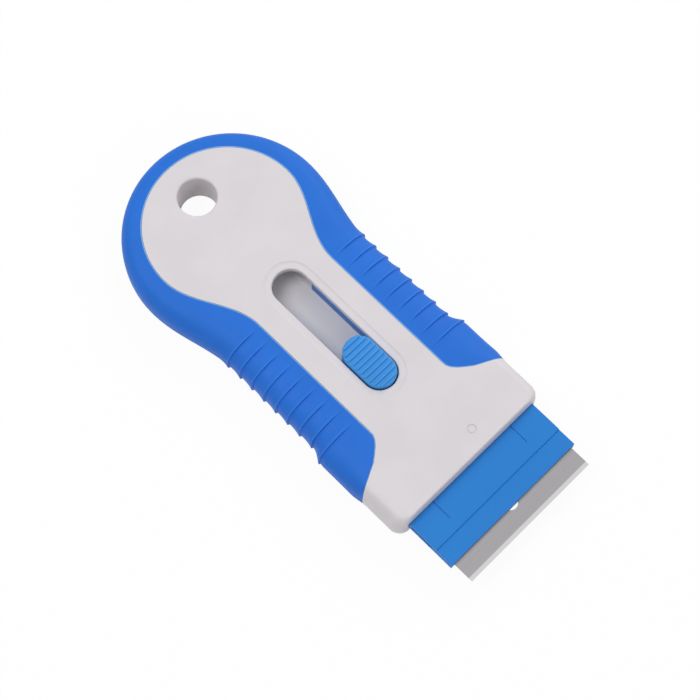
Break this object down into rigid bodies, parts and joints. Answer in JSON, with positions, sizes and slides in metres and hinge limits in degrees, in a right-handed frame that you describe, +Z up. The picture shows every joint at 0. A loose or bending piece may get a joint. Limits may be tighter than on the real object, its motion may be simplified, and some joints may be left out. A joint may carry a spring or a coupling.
{
  "type": "razor blade scraper",
  "caption": "Hand scraper with a flat round-headed handle, soft ribbed side grips, a thumb slide and a retracting carrier that holds a single-edge razor blade.",
  "frame": {"origin": "on the axis of the hang hole, in the plane of the handle's underside", "axes": "+Y along the handle from the hang hole to the blade, +Z up out of the face with the thumb button, +X to the right-hand rule"},
  "size_m": [0.0516, 0.1227, 0.012],
  "materials": {
    "grey_plastic": "satin",
    "blue_rubber": "satin",
    "blue_plastic": "satin",
    "button_plastic": "satin",
    "blade_steel": "brushed",
    "spine_steel": "satin",
    "screw_steel": "zinc plated",
    "spring_steel": "bright"
  },
  "bodies": {
    "handle": {"top_shell": "grey_plastic", "bottom_shell": "grey_plastic", "upper_grip": "blue_rubber", "lower_grip": "blue_rubber", "shell_screws": "screw_steel"},
    "carrier": {"blade_carrier": "blue_plastic", "lock_spring": "spring_steel"},
    "button": {"thumb_button": "button_plastic"},
    "blade": {"razor_blade": "blade_steel", "blade_spine": "spine_steel"}
  },
  "joints": [
    {"name": "carrier_slide", "type": "slide", "parent": "handle", "child": "carrier", "axis": [0, 1, 0], "range_m": [-0.0226, 0]},
    {"name": "button_press", "type": "slide", "parent": "carrier", "child": "button", "axis": [0, 0, 1], "range_m": [-0.001, 0.0006], "stiffness_N_per_m": 800, "springref_m": 0.0006, "deforming": ["lock_spring"]},
    {"name": "blade_slide", "type": "slide", "parent": "carrier", "child": "blade", "axis": [1, 0, 0], "range_m": [0, 0.045]}
  ]
}
